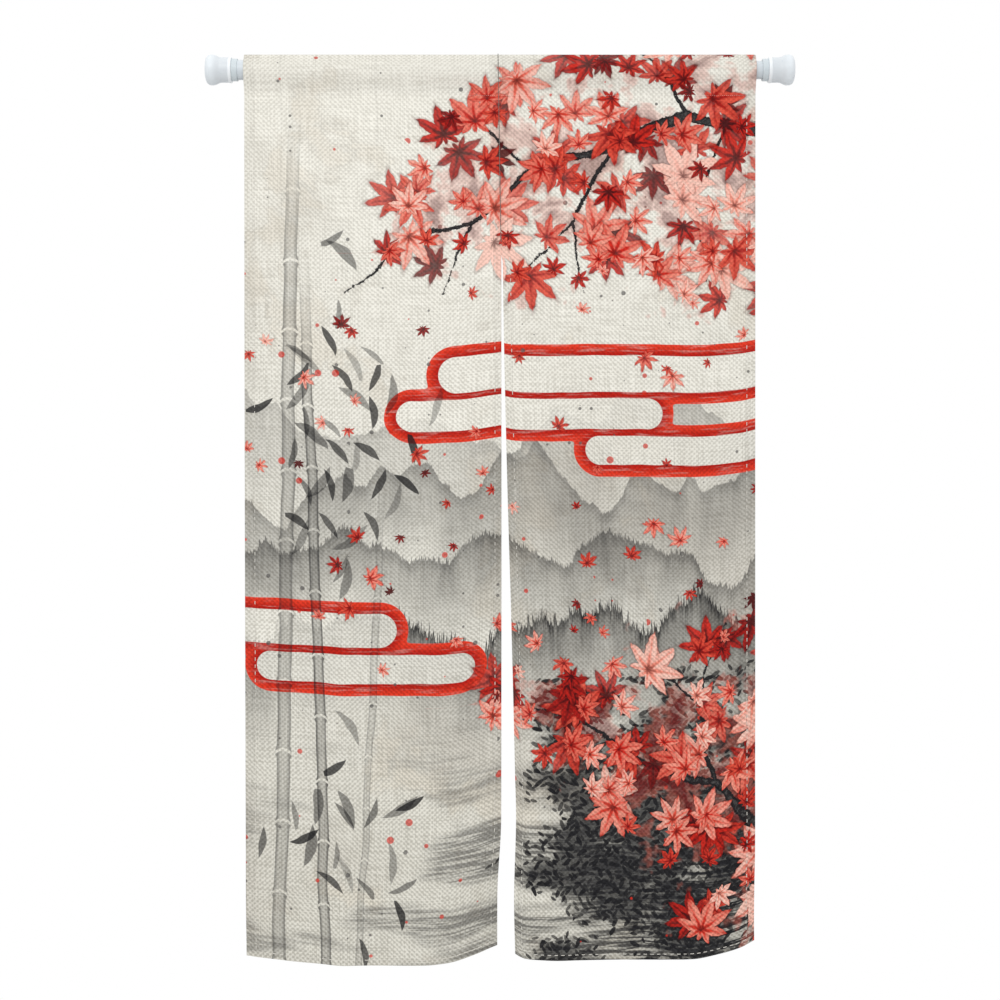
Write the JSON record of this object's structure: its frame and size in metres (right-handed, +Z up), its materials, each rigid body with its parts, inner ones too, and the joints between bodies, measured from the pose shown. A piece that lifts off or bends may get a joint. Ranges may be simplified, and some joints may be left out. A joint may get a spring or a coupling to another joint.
{
  "type": "noren curtain on tension rod",
  "caption": "Hemmed cloth door curtain, sewn together at the top and slit below, hung by its sewn sleeve on a round spring rod with bell-shaped end caps.",
  "frame": {"origin": "middle of the left end cap's outer face, on the rod's axis", "axes": "+X along the rod to the right as the printed front is seen, +Y away from the viewer to the back, +Z up"},
  "size_m": [0.98, 0.0575, 1.5225],
  "materials": {
    "printed_cloth": "matt plain weave in cream, printed in ink grey and coral",
    "rod_coat": "smooth bluish white coat",
    "cap_plastic": "satin bluish white moulded plastic"
  },
  "bodies": {
    "root": {"panel_left": "printed_cloth", "panel_right": "printed_cloth", "rod_outer_tube": "rod_coat", "rod_inner_tube": "rod_coat", "collar_left": "cap_plastic", "collar_right": "cap_plastic", "end_cap_left": "cap_plastic", "end_cap_right": "cap_plastic"}
  },
  "joints": []
}
